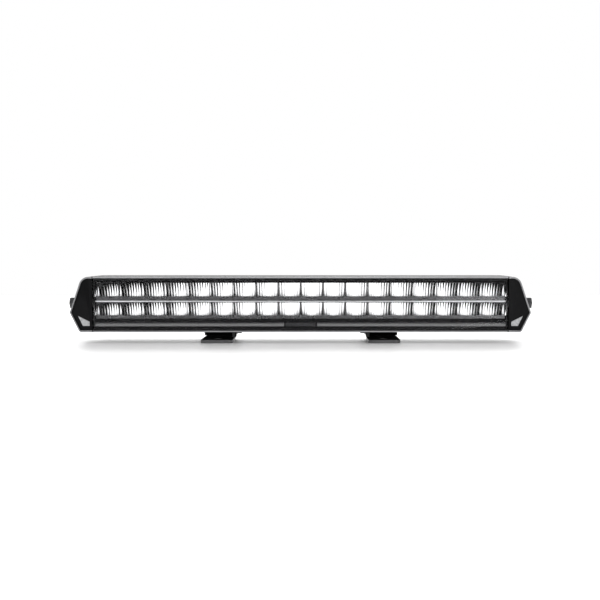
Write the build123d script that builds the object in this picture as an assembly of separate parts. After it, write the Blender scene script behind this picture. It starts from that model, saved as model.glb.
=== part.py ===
from build123d import *
import math
import os

# LED light bar with two rows of reflectors, on two feet that slide along a slot and tilt.
# Millimetres. X runs along the bar, the light shines towards -Y and Z is up. The origin is on
# the ground, under the middle of the bar.

# Bar: an extruded housing between two end caps
HOUSING_LENGTH = 498.0
GASKET = 1.0
SEAM_X = HOUSING_LENGTH / 2 + GASKET  # where an end cap starts
BAR_BOTTOM = 13.4
BAR_TOP = 80.2
BAR_MIDDLE = (BAR_BOTTOM + BAR_TOP) / 2
FRONT_Y = -37.5
REAR_Y = 37.5
WALL = 2.4

# Back wall of the chamber, cooling fins behind it, and the slotted rail under the fins
SPREADER = (4.0, 8.0)
FIN_TIP_Y = 36.5
FIN_THICKNESS = 2.0
FIN_HEIGHTS = (72.0, 65.0, 58.0, 51.0, 44.0)
RAIL_BOTTOM = 24.0
RAIL_TOP = 36.5
RAIL_Y = 2.0
BELLY_Y = -18.0  # the flat underside behind the front lip ends here, then rises to RAIL_Y
SLOT_Y = 27.0
SLOT_MOUTH = 8.4
SLOT_WIDTH = 14.4
SLOT_LIP = 3.2
SLOT_HEIGHT = 6.0

# Screws that hold the end caps: places of their ports in the Y-Z section
PORTS = ((14.0, 68.5), (-3.5, 74.9), (8.0, 30.5), (-12.5, 20.4))
PORT_RADIUS = 3.4
PORT_HOLE = 2.1
CAP_SCREW_RADIUS = 2.0
CAP_SCREW_LENGTH = 18.0
CAP_SCREW_HEAD = (4.3, 3.0)  # radius and height
CAP_SCREW_SEAT = 6.0  # beyond the seam

# Front, from the outside in
LENS = (-36.5, -33.5)
SEAL = (-33.5, -32.7)
SEAL_WIDTHS = (1.2, 2.0)  # at the ends, and along the top and bottom
BEZEL = (-32.6, -30.8)
LEDGE = (-30.7, -28.7)
LEDGE_DEPTH = 3.2
WINDOW = (29.3, 72.8)
WINDOW_HALF = 248.0
STRIP = (19.6, 25.1)
STRIP_X = (20.0, 248.0)
BADGE = (36.0, 4.1)
BADGE_MIDDLE_Z = 22.35
BADGE_RECESS = 0.8

# Optics: each row has six mirrored modules of three cells, lit from the tray below them. Each cell
# is a window as high as rim into half a paraboloid, whose radius at the front is bowl.
CELL_PITCH = 27.4
CELL_WALL = 0.8
CELLS_PER_MODULE = 3
MODULES = 6
MODULE_GAP = 0.2
MIRROR = (-30.6, -9.0)
MIRROR_SHELL = 1.0
FLANGE_DROP = 0.7  # how far the front flange hangs below the board's top
SILL_Y = -28.4
TRAY_THICKNESS = 1.5
BOARD_THICKNESS = 1.0
ROWS = {
    "upper": {
        "tray": 49.7,
        "edge": -31.6,
        "leg": -9.0,
        "rim": 20.4,
        "bowl": 26.6,
        "shell": 1.2,
        "sill": 4.2,
    },
    "lower": {
        "tray": 27.2,
        "edge": -30.6,
        "leg": 9.0,
        "rim": 19.0,
        "bowl": 25.4,
        "shell": 0.7,
        "sill": 3.6,
    },
}
LED_SIDE = 5.0
LED_BASE = 0.8
LED_DOME = (2.2, 1.6)  # radius and height above the base
LED_SET_BACK = 1.25  # behind the focus, which spreads the beam
TRAY_HALF = 247.5
BOARD_HALF = 246.0
TRAY_LEG_Y = (1.0, 3.4)
PAD_Y = (3.4, 3.95)
PAD_HEIGHT = 6.8
TRAY_SCREWS = 6
TRAY_SCREW_SPACING = 90.0
TRAY_SCREW_RADIUS = 1.5
TRAY_SCREW_HEAD = (2.8, 2.0)

# Position lights behind the lower strips
GUIDE_REAR_Y = -25.0
POSITION_BOARD_Y = (-23.0, -21.8)
POSITION_BOARD_Z = (17.0, 26.8)
CORNER_BOARD_Y = (-20.3, -19.1)
POSITION_LEDS = 12
POSITION_LED_SPACING = 19.0
POSITION_LED_SIDE = 2.8

# Driver, on the chamber's back wall behind the upper reflectors
DRIVER_HALF = 180.0
DRIVER_Y = (1.2, 2.8)
DRIVER_Z = (55.0, 70.5)
DRIVER_PITCH = 52.0
COIL_SIDE = 12.0
CAPACITOR_RADIUS = 4.0
STANDOFF_RADIUS = 2.4
STANDOFF_XS = (-170.0, -57.0, 57.0, 170.0)
STANDOFF_ZS = (57.5, 68.0)

# End caps, seen from the front
CAP_TOP_X = 262.6
CAP_WIDEST_X = 277.3
CAP_WIDEST_Z = 37.0
CAP_BOTTOM_X = 265.7
CAP_RIM = 2.6
CAP_WALL = 3.4
CAP_CORNER_RADII = (3.0, 12.0)  # the lower two corners, and the upper one
CAP_REAR_RADIUS = 5.0
CAP_POCKETS = (((LENS[1], -19.0), (16.0, 77.0)), ((-20.0, -11.0), (30.0, 70.0)))  # Y and Z
CORNER_LIGHT = ((253.1, 20.8), (261.5, 20.8), (267.5, 33.4), (253.1, 26.2))

# M8 side bolts
SIDE_BOSS_X = 277.0
SIDE_BOLT_END = 259.0
SIDE_BOSS_RADIUS = 9.5
M8_HEAD_ACROSS = 13.0
M8_HEAD = 5.3
M8_RADIUS = 4.0
WASHER = 1.6
WASHER_RADIUS = 8.0
SPRING_WASHER = 2.0
SPRING_WASHER_RADIUS = 6.8

# Sliding carriages and tilting feet
FOOT_X = 101.2
FOOT_WIDTH = 38.8
FOOT_PLATE = 4.0
FOOT_Y = (-37.0, 20.0)
FOOT_HOLE = 4.5
FOOT_HOLE_Y = -17.0
EAR_GAP = 0.3
BEND_RADIUS = 4.5
RELIEF = 1.5  # notch at the end of the bend
FOOT_CORNER = 6.0
PIVOT_Y = 12.5
PIVOT_Z = 14.5
EAR_RADIUS = 8.5
PIVOT_CLEARANCE = 0.08
BARREL_RADIUS = 9.5
FLANGE = (3.0, 34.0)
FLANGE_THICKNESS = 5.0
SLIDE_GAP = 0.3
FLANGE_CORNER = 2.0
TILT_BOLT_REACH = 25.0  # into the carriage
SCREW_SEAT = 3.0  # above the flange's underside
M6_RADIUS = 3.0
M6_HEAD = (5.1, 2.8)
M6_SOCKET = 4.0
M6_SPACING = 18.0

# Cable gland and pressure vent, on pads where the fins are milled away
GLAND_X = -200.0
GLAND_Z = 58.0
GLAND_BORE = 3.6
GLAND_HEXAGON = 17.0
GLAND_THREAD = 6.0
GLAND_COLLAR_Y = 13.0
GLAND_NECK = 6.6
GLAND_NECK_END = 21.0
GLAND_SEAL = 5.1
SEAL_Y = (15.1, 25.0)
NUT_Y = (13.6, 23.0)
DOME_HEIGHT = 6.0
VENT_X = 200.0
VENT_CAP = (8.0, 5.0)  # radius and height
PAD_HALF = 17.0
PAD_Z = (RAIL_TOP + 4.0, BAR_TOP - WALL - 3.0)

# Allowances
PAST = 1.0  # how far a cut runs past the face that it opens
LOOSE = 0.3  # between parts that are put together by hand
CLOSE = 0.1


def block(x, y, z):
    """A box from three (low, high) pairs."""
    size = [high - low for low, high in (x, y, z)]
    centre = [(high + low) / 2 for low, high in (x, y, z)]
    return Pos(*centre) * Box(*size)


def rod_x(radius, x, y, z):
    """A cylinder along X between the pair x."""
    low = (Align.CENTER, Align.CENTER, Align.MIN)
    return Pos(x[0], y, z) * Rot(0, 90, 0) * Cylinder(radius, x[1] - x[0], align=low)


def rod_y(radius, x, y, z):
    """A cylinder along Y between the pair y."""
    low = (Align.CENTER, Align.CENTER, Align.MIN)
    return Pos(x, y[0], z) * Rot(-90, 0, 0) * Cylinder(radius, y[1] - y[0], align=low)


def rod_z(radius, x, y, z):
    """A cylinder along Z between the pair z."""
    low = (Align.CENTER, Align.CENTER, Align.MIN)
    return Pos(x, y, z[0]) * Cylinder(radius, z[1] - z[0], align=low)


def hex_x(across, x, y, z):
    """A hexagonal prism along X between the pair x."""
    face = Plane.YZ * RegularPolygon(across / 2, 6, major_radius=False)
    return Pos(x[0], y, z) * extrude(face, x[1] - x[0])


def hex_y(across, x, y, z):
    """A hexagonal prism along Y between the pair y."""
    face = Plane.XZ * RegularPolygon(across / 2, 6, major_radius=False)
    return Pos(x, y[1], z) * extrude(face, y[1] - y[0])


def polygon(*points):
    return make_face(Polyline(*points, close=True))


def rectangle(first, second):
    """A flat rectangle from a (low, high) pair for each of its two directions."""
    centre = Pos((first[0] + first[1]) / 2, (second[0] + second[1]) / 2)
    return centre * Rectangle(first[1] - first[0], second[1] - second[0])


def along_x(section, x):
    """A Y-Z section swept along X between the pair x."""
    return Pos(x[0], 0, 0) * extrude(Plane.YZ * section, x[1] - x[0])


def along_y(outline, y):
    """An X-Z outline swept along Y between the pair y."""
    return Pos(0, y[1], 0) * extrude(Plane.XZ * outline, y[1] - y[0])


def mirrored(shape):
    return mirror(shape, about=Plane.YZ)


def save(node, *solids):
    """Writes one node. Several solids stay separate in it."""
    shape = solids[0] if len(solids) == 1 else Compound(list(solids))
    export_step(shape, f"parts/{node}.step")


def save_pair(node, *solids):
    """Writes the right-hand piece and its mirror image on the left."""
    save(f"{node}_right", *solids)
    save(f"{node}_left", *[mirrored(solid) for solid in solids])


def chamber_section():
    """Outside of the front chamber, as a solid section."""
    return polygon(
        (FRONT_Y, BAR_BOTTOM),
        (BELLY_Y, BAR_BOTTOM),
        (RAIL_Y, RAIL_BOTTOM),
        (SPREADER[1], RAIL_BOTTOM),
        (SPREADER[1], BAR_TOP),
        (FRONT_Y, BAR_TOP),
    )


def chamber_hollow():
    """Inside of the front chamber, open towards the lens."""
    front = FRONT_Y - PAST
    return polygon(
        (front, BAR_BOTTOM + WALL),
        (BELLY_Y - WALL / 4, BAR_BOTTOM + WALL),
        (RAIL_Y - WALL / 4, RAIL_BOTTOM + WALL),
        (SPREADER[0], RAIL_BOTTOM + WALL),
        (SPREADER[0], BAR_TOP - WALL),
        (front, BAR_TOP - WALL),
    )


def housing_extrusion():
    """Aluminium section with the lens ledges, fins, slotted rail and screw ports."""
    section = chamber_section() - chamber_hollow()
    section += rectangle(LEDGE, (BAR_BOTTOM, BAR_BOTTOM + WALL + LEDGE_DEPTH))
    section += rectangle(LEDGE, (BAR_TOP - WALL - LEDGE_DEPTH, BAR_TOP))
    section += rectangle((SPREADER[0], FIN_TIP_Y), (BAR_TOP - WALL, BAR_TOP))
    for height in FIN_HEIGHTS:
        fin = (height - FIN_THICKNESS / 2, height + FIN_THICKNESS / 2)
        section += rectangle((SPREADER[0], FIN_TIP_Y), fin)
    section += rectangle((SPREADER[0], FIN_TIP_Y), (RAIL_BOTTOM, RAIL_TOP))
    for y, z in PORTS:
        section += Pos(y, z) * Circle(PORT_RADIUS)
        section -= Pos(y, z) * Circle(PORT_HOLE)
    mouth = (SLOT_Y - SLOT_MOUTH / 2, SLOT_Y + SLOT_MOUTH / 2)
    section -= rectangle(mouth, (RAIL_BOTTOM - PAST, RAIL_BOTTOM + SLOT_LIP + PAST))
    width = (SLOT_Y - SLOT_WIDTH / 2, SLOT_Y + SLOT_WIDTH / 2)
    roof = RAIL_BOTTOM + SLOT_LIP + SLOT_HEIGHT
    section -= rectangle(width, (RAIL_BOTTOM + SLOT_LIP, roof))
    housing = along_x(section, (-HOUSING_LENGTH / 2, HOUSING_LENGTH / 2))
    for x in (GLAND_X, VENT_X):
        housing -= block((x - PAD_HALF, x + PAD_HALF), (SPREADER[1], REAR_Y), PAD_Z)
        housing -= rod_y(GLAND_THREAD + CLOSE, x, (SPREADER[0] - PAST, SPREADER[1] + PAST), GLAND_Z)
    return housing


def cap_outline(inset, inner_x):
    """The end cap's front outline, moved inwards by inset and running in to inner_x."""
    outline = polygon(
        (inner_x - inset, BAR_BOTTOM),
        (CAP_BOTTOM_X, BAR_BOTTOM),
        (CAP_WIDEST_X, CAP_WIDEST_Z),
        (CAP_TOP_X, BAR_TOP),
        (inner_x - inset, BAR_TOP),
    )
    outer = outline.vertices().sort_by(Axis.X)[2:]
    widest = outer[-1]
    bottom, top = sorted(outer[:-1], key=lambda corner: corner.Y)
    outline = fillet([bottom, widest], CAP_CORNER_RADII[0])
    top = outline.vertices().sort_by_distance((CAP_TOP_X, BAR_TOP))[0]
    outline = fillet([top], CAP_CORNER_RADII[1])
    return offset(outline, -inset) if inset else outline


def cap_side_section():
    """The end cap's Y-Z section, which covers the housing, its fins and its rail."""
    section = polygon(
        (FRONT_Y, BAR_BOTTOM),
        (BELLY_Y, BAR_BOTTOM),
        (RAIL_Y, RAIL_BOTTOM),
        (REAR_Y, RAIL_BOTTOM),
        (REAR_Y, BAR_TOP),
        (FRONT_Y, BAR_TOP),
    )
    rear = section.vertices().sort_by(Axis.X)[-2:]
    return fillet(rear, CAP_REAR_RADIUS)


def end_cap():
    """Right-hand end cap: cast shell with a raised rim, a lamp window and a bolt boss."""
    whole = (SEAM_X, CAP_WIDEST_X)
    inner = SEAM_X - 4 * CAP_RIM
    cap = along_y(cap_outline(0, SEAM_X), (FRONT_Y, REAR_Y)) & along_x(cap_side_section(), whole)
    cap += rod_x(SIDE_BOSS_RADIUS, (SEAM_X + CAP_SCREW_SEAT, SIDE_BOSS_X), 0, BAR_MIDDLE)
    cap -= along_y(cap_outline(CAP_RIM, inner), (FRONT_Y - PAST, LENS[0]))
    for y, z in CAP_POCKETS:
        pocket = along_y(cap_outline(CAP_WALL, inner), y)
        cap -= pocket & block((SEAM_X - PAST, CAP_WIDEST_X), y, z)
    cap -= along_y(polygon(*CORNER_LIGHT), (FRONT_Y - PAST, LENS[1] + PAST))
    cap -= rod_x(M8_RADIUS + CLOSE / 2, (SIDE_BOLT_END - PAST, SIDE_BOSS_X + PAST), 0, BAR_MIDDLE)
    seat = SEAM_X + CAP_SCREW_SEAT
    for y, z in PORTS:
        cap -= rod_x(CAP_SCREW_RADIUS + 2 * LOOSE, (SEAM_X - PAST, seat + PAST), y, z)
        cap -= rod_x(CAP_SCREW_HEAD[0] + 2 * LOOSE, (seat, CAP_WIDEST_X + PAST), y, z)
    return cap


def end_gasket():
    """Rubber sheet between the housing's end and the cap, round the chamber."""
    sheet = chamber_section() - chamber_hollow()
    for y, z in PORTS[1:]:
        sheet += Pos(y, z) * Circle(PORT_RADIUS)
        sheet -= Pos(y, z) * Circle(PORT_HOLE + LOOSE)
    return along_x(sheet, (HOUSING_LENGTH / 2, SEAM_X))


def end_cap_screws():
    """Pan-head screws with a hexagonal socket, four at each end."""
    screws = []
    seat = SEAM_X + CAP_SCREW_SEAT
    radius, height = CAP_SCREW_HEAD
    for y, z in PORTS:
        screw = rod_x(radius, (seat, seat + height), y, z)
        screw += rod_x(CAP_SCREW_RADIUS, (seat - CAP_SCREW_LENGTH, seat), y, z)
        screw -= hex_x(1.5 * CAP_SCREW_RADIUS, (seat + 0.4 * height, seat + height + PAST), y, z)
        screws += [screw, mirrored(screw)]
    return screws


def front_lens():
    """Clear front sheet between the housing's lips."""
    z = (BAR_BOTTOM + WALL + LOOSE, BAR_TOP - WALL - LOOSE)
    return block((-SEAM_X + LOOSE, SEAM_X - LOOSE), LENS, z)


def lens_seal():
    """Soft frame behind the lens, all round its edge."""
    half = HOUSING_LENGTH / 2 - LOOSE
    z = (BAR_BOTTOM + WALL + LOOSE + CLOSE, BAR_TOP - WALL - LOOSE - CLOSE)
    side, edge = SEAL_WIDTHS
    through = (SEAL[0] - PAST, SEAL[1] + PAST)
    opening = block((-half + side, half - side), through, (z[0] + edge, z[1] - edge))
    return block((-half, half), SEAL, z) - opening


def front_bezel():
    """Black mask with the reflector window, two light strips and a recess for the badge."""
    half = HOUSING_LENGTH / 2 - LOOSE
    z = (BAR_BOTTOM + WALL + LOOSE + CLOSE, BAR_TOP - WALL - LOOSE - CLOSE)
    bezel = block((-half, half), BEZEL, z)
    through = (BEZEL[0] - PAST, BEZEL[1] + PAST)
    bezel -= block((-WINDOW_HALF, WINDOW_HALF), through, WINDOW)
    strip = block(STRIP_X, through, STRIP)
    bezel -= strip
    bezel -= mirrored(strip)
    return bezel - badge(2 * CLOSE, (BEZEL[0] - PAST, BEZEL[0] + BADGE_RECESS))


def badge(grow, y):
    """The badge's rectangle, grown all round, between the pair y."""
    width, height = BADGE[0] / 2 + grow, BADGE[1] / 2 + grow
    return block((-width, width), y, (BADGE_MIDDLE_Z - height, BADGE_MIDDLE_Z + height))


def badge_plate():
    """Blank plate in the middle of the bezel's lower edge."""
    return badge(0, (BEZEL[0] + CLOSE, BEZEL[0] + BADGE_RECESS))


def light_guide():
    """Frosted guide behind the right-hand strip."""
    gap = 2 * CLOSE
    x = (STRIP_X[0] + gap, STRIP_X[1] - gap)
    return block(x, (BEZEL[0] + gap, GUIDE_REAR_Y), (STRIP[0] + gap, STRIP[1] - gap))


def position_led_board():
    """Upright board behind both light guides."""
    return block((-BOARD_HALF, BOARD_HALF), POSITION_BOARD_Y, POSITION_BOARD_Z)


def position_leds():
    """Small emitters behind the guides, a row on each side."""
    half = POSITION_LED_SIDE / 2
    y = (POSITION_BOARD_Y[0] - 0.8, POSITION_BOARD_Y[0])
    z = (STRIP[0] + STRIP[1]) / 2
    emitters = []
    for i in range(POSITION_LEDS):
        x = STRIP_X[0] + (i + 0.5) * POSITION_LED_SPACING
        led = block((x - half, x + half), y, (z - half, z + half))
        emitters += [led, mirrored(led)]
    return emitters


def corner_light():
    """Clear prism in the right end cap's window, with a flange behind the wall."""
    window = offset(polygon(*CORNER_LIGHT), -LOOSE / 2, kind=Kind.INTERSECTION)
    flange = offset(polygon(*CORNER_LIGHT), 3 * LOOSE, kind=Kind.INTERSECTION)
    prism = along_y(window, (LENS[0] + CLOSE, LENS[1] + 3.0))
    return prism + along_y(flange, (LENS[1] + CLOSE / 2, LENS[1] + 1.6))


def corner_led_board():
    """Board with one emitter behind the corner light."""
    face, back = CORNER_BOARD_Y
    board = block((252.0, 262.5), (face, back), (17.5, 30.0))
    return board + block((256.5, 260.0), (face - 1.0, face), (22.0, 25.5))


def led_tray(row):
    """Aluminium angle that carries a row's board and takes its heat to the back wall."""
    low = row["tray"]
    high = low + TRAY_THICKNESS
    half = (-TRAY_HALF, TRAY_HALF)
    tray = block(half, (row["edge"], TRAY_LEG_Y[1]), (low, high))
    tray += block(half, TRAY_LEG_Y, (min(low, high + row["leg"]), max(high, low + row["leg"])))
    return tray - screw_holes(row, (TRAY_LEG_Y[0] - PAST, TRAY_LEG_Y[1] + PAST))


def screw_holes(row, y):
    """Clearance for the screws of a row's leg, between the pair y."""
    radius = TRAY_SCREW_RADIUS + 2 * CLOSE
    return [rod_y(radius, x, y, leg_middle(row)) for x in screw_places()]


def thermal_pad(row):
    """Soft pad between the tray's leg and the back wall."""
    middle = leg_middle(row)
    pad = block((-BOARD_HALF, BOARD_HALF), PAD_Y, (middle - PAD_HEIGHT / 2, middle + PAD_HEIGHT / 2))
    return pad - screw_holes(row, (PAD_Y[0] - PAST, PAD_Y[1] + PAST))


def leg_middle(row):
    return row["tray"] + TRAY_THICKNESS / 2 + row["leg"] / 2


def spread(count, pitch):
    """Places along X, evenly spaced about the middle."""
    return [(i - (count - 1) / 2) * pitch for i in range(count)]


def screw_places():
    return spread(TRAY_SCREWS, TRAY_SCREW_SPACING)


def tray_screws():
    """Small screws through both trays' legs."""
    radius, height = TRAY_SCREW_HEAD
    seat = TRAY_LEG_Y[0]
    screws = []
    for row in ROWS.values():
        for x in screw_places():
            head = rod_y(radius, x, (seat - height, seat), leg_middle(row))
            shank = rod_y(TRAY_SCREW_RADIUS, x, (seat, SPREADER[0] - CLOSE), leg_middle(row))
            screws.append(head + shank)
    return screws


def board_top(row):
    return row["tray"] + TRAY_THICKNESS + BOARD_THICKNESS


def led_board(row):
    """Metal-core board that lies on the tray."""
    low = row["tray"] + TRAY_THICKNESS
    half = BOARD_HALF + 4 * CLOSE
    return block((-half, half), (SILL_Y + 2 * CLOSE, MIRROR[1] + 2), (low, low + BOARD_THICKNESS))


def led_y(row):
    """Where a row's emitters sit: just behind the focus of its parabolas."""
    vertex = MIRROR[1] - MIRROR_SHELL
    return vertex - row["bowl"] ** 2 / (vertex - MIRROR[0]) / 4 + LED_SET_BACK


def leds(row):
    """One square emitter with a domed lens in each cell."""
    half = LED_SIDE / 2
    radius, height = LED_DOME
    base = block((-half, half), (-half, half), (0, LED_BASE))
    dome = Pos(0, 0, LED_BASE + height - radius) * Sphere(radius)
    emitter = base + (dome & block((-half, half), (-half, half), (LED_BASE / 2, LED_BASE + height)))
    places = spread(MODULES * CELLS_PER_MODULE, CELL_PITCH)
    return [Pos(x, led_y(row), board_top(row)) * emitter for x in places]


def half_bowl(low, radius, grow):
    """A parabola turned about its axis at height low, with radius at the front, grown by grow."""
    vertex = MIRROR[1] - MIRROR_SHELL + grow
    front = MIRROR[0] - PAST
    front_radius = grow + radius * math.sqrt((vertex - front) / (vertex - MIRROR[0]))
    curve = Bezier((vertex, 0), (vertex, front_radius / 2), (front, front_radius))
    section = make_face([curve, Polyline((front, front_radius), (front, 0), (vertex, 0))])
    return Pos(0, 0, low) * revolve(Plane.YZ * section, Axis.Y, 360)


def reflector_module(row):
    """Three half-bowls in one thin mirrored moulding, each lit by its own emitter."""
    half = CELL_PITCH * CELLS_PER_MODULE / 2 - MODULE_GAP / 2
    rim = row["rim"]
    low = board_top(row)
    high = low + rim + row["shell"]
    cell = CELL_PITCH / 2 - CELL_WALL / 2
    cavity = block((-cell, cell), (MIRROR[0] - PAST, 0), (low + row["sill"], low + rim))
    cavity += block((-cell, cell), (SILL_Y, 0), (low - PAST, low + rim))
    cavity = half_bowl(low, row["bowl"], 0) & cavity
    outside = half_bowl(low, row["bowl"], MIRROR_SHELL)
    module = block((-half, half), (MIRROR[0], SILL_Y), (low - FLANGE_DROP, high))
    for x in spread(CELLS_PER_MODULE, CELL_PITCH):
        ends = (max(x - CELL_PITCH / 2, -half), min(x + CELL_PITCH / 2, half))
        module += (Pos(x, 0, 0) * outside) & block(ends, MIRROR, (low, high))
    for x in spread(CELLS_PER_MODULE, CELL_PITCH):
        module -= Pos(x, 0, 0) * cavity
    return module


def save_reflectors(name, row):
    """Writes the row's modules, numbered from the left."""
    module = reflector_module(row)
    for i, x in enumerate(spread(MODULES, CELL_PITCH * CELLS_PER_MODULE)):
        save(f"reflector_{name}_{i + 1}", Pos(x, 0, 0) * module)


def driver_board():
    """Circuit board on the chamber's back wall, behind the upper reflectors."""
    return block((-DRIVER_HALF, DRIVER_HALF), DRIVER_Y, DRIVER_Z)


def driver_standoffs():
    """Spacers between the driver board and the back wall."""
    y = (DRIVER_Y[1], SPREADER[0])
    return [rod_y(STANDOFF_RADIUS, x, y, z) for x in STANDOFF_XS for z in STANDOFF_ZS]


def driver_inductors():
    """Square coils, two for each driver stage."""
    half = COIL_SIDE / 2
    middle = sum(DRIVER_Z) / 2
    face = DRIVER_Y[0] - 5.8
    coils = []
    for x in spread(6, DRIVER_PITCH):
        coil = block((x - half, x + half), (face, DRIVER_Y[0]), (middle - half, middle + half))
        coils.append(coil - rod_y(half / 2, x, (face - PAST, face + 1.0), middle))
    return coils


def driver_capacitors():
    """Round capacitors between the coils."""
    y = (DRIVER_Y[0] - 6.0, DRIVER_Y[0])
    return [rod_y(CAPACITOR_RADIUS, x, y, sum(DRIVER_Z) / 2) for x in spread(5, DRIVER_PITCH)]


def cable_gland_body():
    """Threaded body with a hexagon, screwed into the back wall."""
    body = hex_y(GLAND_HEXAGON, GLAND_X, (SPREADER[1], GLAND_COLLAR_Y), GLAND_Z)
    body += rod_y(GLAND_THREAD, GLAND_X, (SPREADER[0] - 2.5, SPREADER[1]), GLAND_Z)
    body += rod_y(GLAND_NECK, GLAND_X, (GLAND_COLLAR_Y, GLAND_NECK_END), GLAND_Z)
    body -= rod_y(GLAND_BORE + 2 * CLOSE, GLAND_X, (0, SEAL_Y[0] - CLOSE), GLAND_Z)
    body -= rod_y(GLAND_SEAL + CLOSE, GLAND_X, (SEAL_Y[0] - CLOSE, GLAND_NECK_END + PAST), GLAND_Z)
    return body


def cable_gland_seal():
    """Rubber sleeve that grips the cable."""
    seal = rod_y(GLAND_SEAL, GLAND_X, SEAL_Y, GLAND_Z)
    return seal - rod_y(GLAND_BORE, GLAND_X, (SEAL_Y[0] - PAST, SEAL_Y[1] + PAST), GLAND_Z)


def cable_gland_nut():
    """Domed nut that squeezes the sleeve."""
    nut = hex_y(GLAND_HEXAGON, GLAND_X, NUT_Y, GLAND_Z)
    base = (Align.CENTER, Align.CENTER, Align.MIN)
    dome = Cone(GLAND_HEXAGON / 2 - CLOSE, GLAND_SEAL + 0.5, DOME_HEIGHT, align=base)
    nut += Pos(GLAND_X, NUT_Y[1], GLAND_Z) * Rot(-90, 0, 0) * dome
    nut -= rod_y(GLAND_NECK + CLOSE, GLAND_X, (NUT_Y[0] - PAST, GLAND_NECK_END + CLOSE), GLAND_Z)
    nut -= rod_y(GLAND_SEAL + CLOSE, GLAND_X, (GLAND_NECK_END, SEAL_Y[1] + 4 * CLOSE), GLAND_Z)
    nut -= rod_y(GLAND_BORE + LOOSE, GLAND_X, (SEAL_Y[1], NUT_Y[1] + DOME_HEIGHT + PAST), GLAND_Z)
    return nut


def vent_plug():
    """Screwed plug with a breathing membrane under its notched cap."""
    radius, height = VENT_CAP
    face = SPREADER[1] + height
    plug = rod_y(GLAND_THREAD, VENT_X, (SPREADER[0] - 1.5, SPREADER[1]), GLAND_Z)
    plug += rod_y(radius, VENT_X, (SPREADER[1], face), GLAND_Z)
    for angle in range(0, 180, 60):
        notch = Box(2 * radius + PAST, height / 2.5, height / 3)
        plug -= Pos(VENT_X, face - height / 6, GLAND_Z) * Rot(0, angle, 0) * notch
    return plug


def side_bolts():
    """M8 hexagon bolts along X, one in each end cap."""
    head = SIDE_BOSS_X + WASHER + SPRING_WASHER
    bolt = hex_x(M8_HEAD_ACROSS, (head, head + M8_HEAD), 0, BAR_MIDDLE)
    bolt += rod_x(M8_RADIUS, (SIDE_BOLT_END, head), 0, BAR_MIDDLE)
    return [bolt, mirrored(bolt)]


def side_washers():
    """A flat washer and a spring washer under each side bolt's head."""
    rings = []
    start = SIDE_BOSS_X
    for thickness, radius in ((WASHER, WASHER_RADIUS), (SPRING_WASHER, SPRING_WASHER_RADIUS)):
        ring = rod_x(radius, (start, start + thickness), 0, BAR_MIDDLE)
        hole = (start - PAST, start + thickness + PAST)
        ring -= rod_x(M8_RADIUS + 2 * CLOSE, hole, 0, BAR_MIDDLE)
        start += thickness
        rings += [ring, mirrored(ring)]
    return rings


EAR_X = FOOT_X - FOOT_WIDTH / 2
CARRIAGE_X = (EAR_X + FOOT_PLATE + EAR_GAP, FOOT_X + FOOT_WIDTH / 2)
CARRIAGE_TOP = RAIL_BOTTOM - SLIDE_GAP
CARRIAGE_MIDDLE = (CARRIAGE_X[0] + CARRIAGE_X[1]) / 2
SCREW_XS = (CARRIAGE_MIDDLE - M6_SPACING / 2, CARRIAGE_MIDDLE + M6_SPACING / 2)
FLANGE_LOW = CARRIAGE_TOP - FLANGE_THICKNESS


def carriage():
    """Right-hand cast block: a flange and a tongue on the rail, a barrel round the pivot."""
    body = block(CARRIAGE_X, FLANGE, (FLANGE_LOW, CARRIAGE_TOP))
    body = fillet(body.edges().filter_by(Axis.Z), FLANGE_CORNER)
    neck = (PIVOT_Y - BARREL_RADIUS, PIVOT_Y + BARREL_RADIUS)
    body += block(CARRIAGE_X, neck, (PIVOT_Z, FLANGE_LOW + PAST))
    body += rod_x(BARREL_RADIUS, CARRIAGE_X, PIVOT_Y, PIVOT_Z)
    tongue = SLOT_MOUTH / 2 - SLIDE_GAP
    tongue_top = RAIL_BOTTOM + SLOT_LIP - 0.8
    body += block(CARRIAGE_X, (SLOT_Y - tongue, SLOT_Y + tongue), (FLANGE_LOW, tongue_top))
    bore = (CARRIAGE_X[0] - PAST, CARRIAGE_X[0] + TILT_BOLT_REACH + PAST)
    body -= rod_x(M8_RADIUS + CLOSE / 2, bore, PIVOT_Y, PIVOT_Z)
    for x in SCREW_XS:
        body -= rod_z(M6_RADIUS + 2 * CLOSE, x, SLOT_Y, (0, tongue_top + PAST))
        body -= rod_z(M6_HEAD[0] + LOOSE, x, SLOT_Y, (0, FLANGE_LOW + SCREW_SEAT))
    return body


def slot_nuts():
    """Two square nuts that slide inside the rail's slot."""
    half = SLOT_WIDTH / 2 - SLIDE_GAP
    z = (RAIL_BOTTOM + SLOT_LIP + SLIDE_GAP, RAIL_BOTTOM + SLOT_LIP + SLOT_HEIGHT - SLIDE_GAP)
    nuts = []
    for x in SCREW_XS:
        nut = block((x - half, x + half), (SLOT_Y - half, SLOT_Y + half), z)
        nuts.append(nut - rod_z(M6_RADIUS + CLOSE / 2, x, SLOT_Y, (z[0] - PAST, z[1] + PAST)))
    return nuts


def carriage_screws():
    """Low-head M6 screws that clamp the carriage to its nuts."""
    seat = FLANGE_LOW + SCREW_SEAT
    radius, height = M6_HEAD
    end = RAIL_BOTTOM + SLOT_LIP + SLOT_HEIGHT - 2 * SLIDE_GAP
    screws = []
    for x in SCREW_XS:
        screw = rod_z(radius, x, SLOT_Y, (seat - height, seat))
        screw += rod_z(M6_RADIUS, x, SLOT_Y, (seat, end))
        socket = extrude(RegularPolygon(M6_SOCKET / 2, 6, major_radius=False), height - PAST)
        screws.append(screw - Pos(x, SLOT_Y, seat - height) * socket)
    return screws


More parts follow.
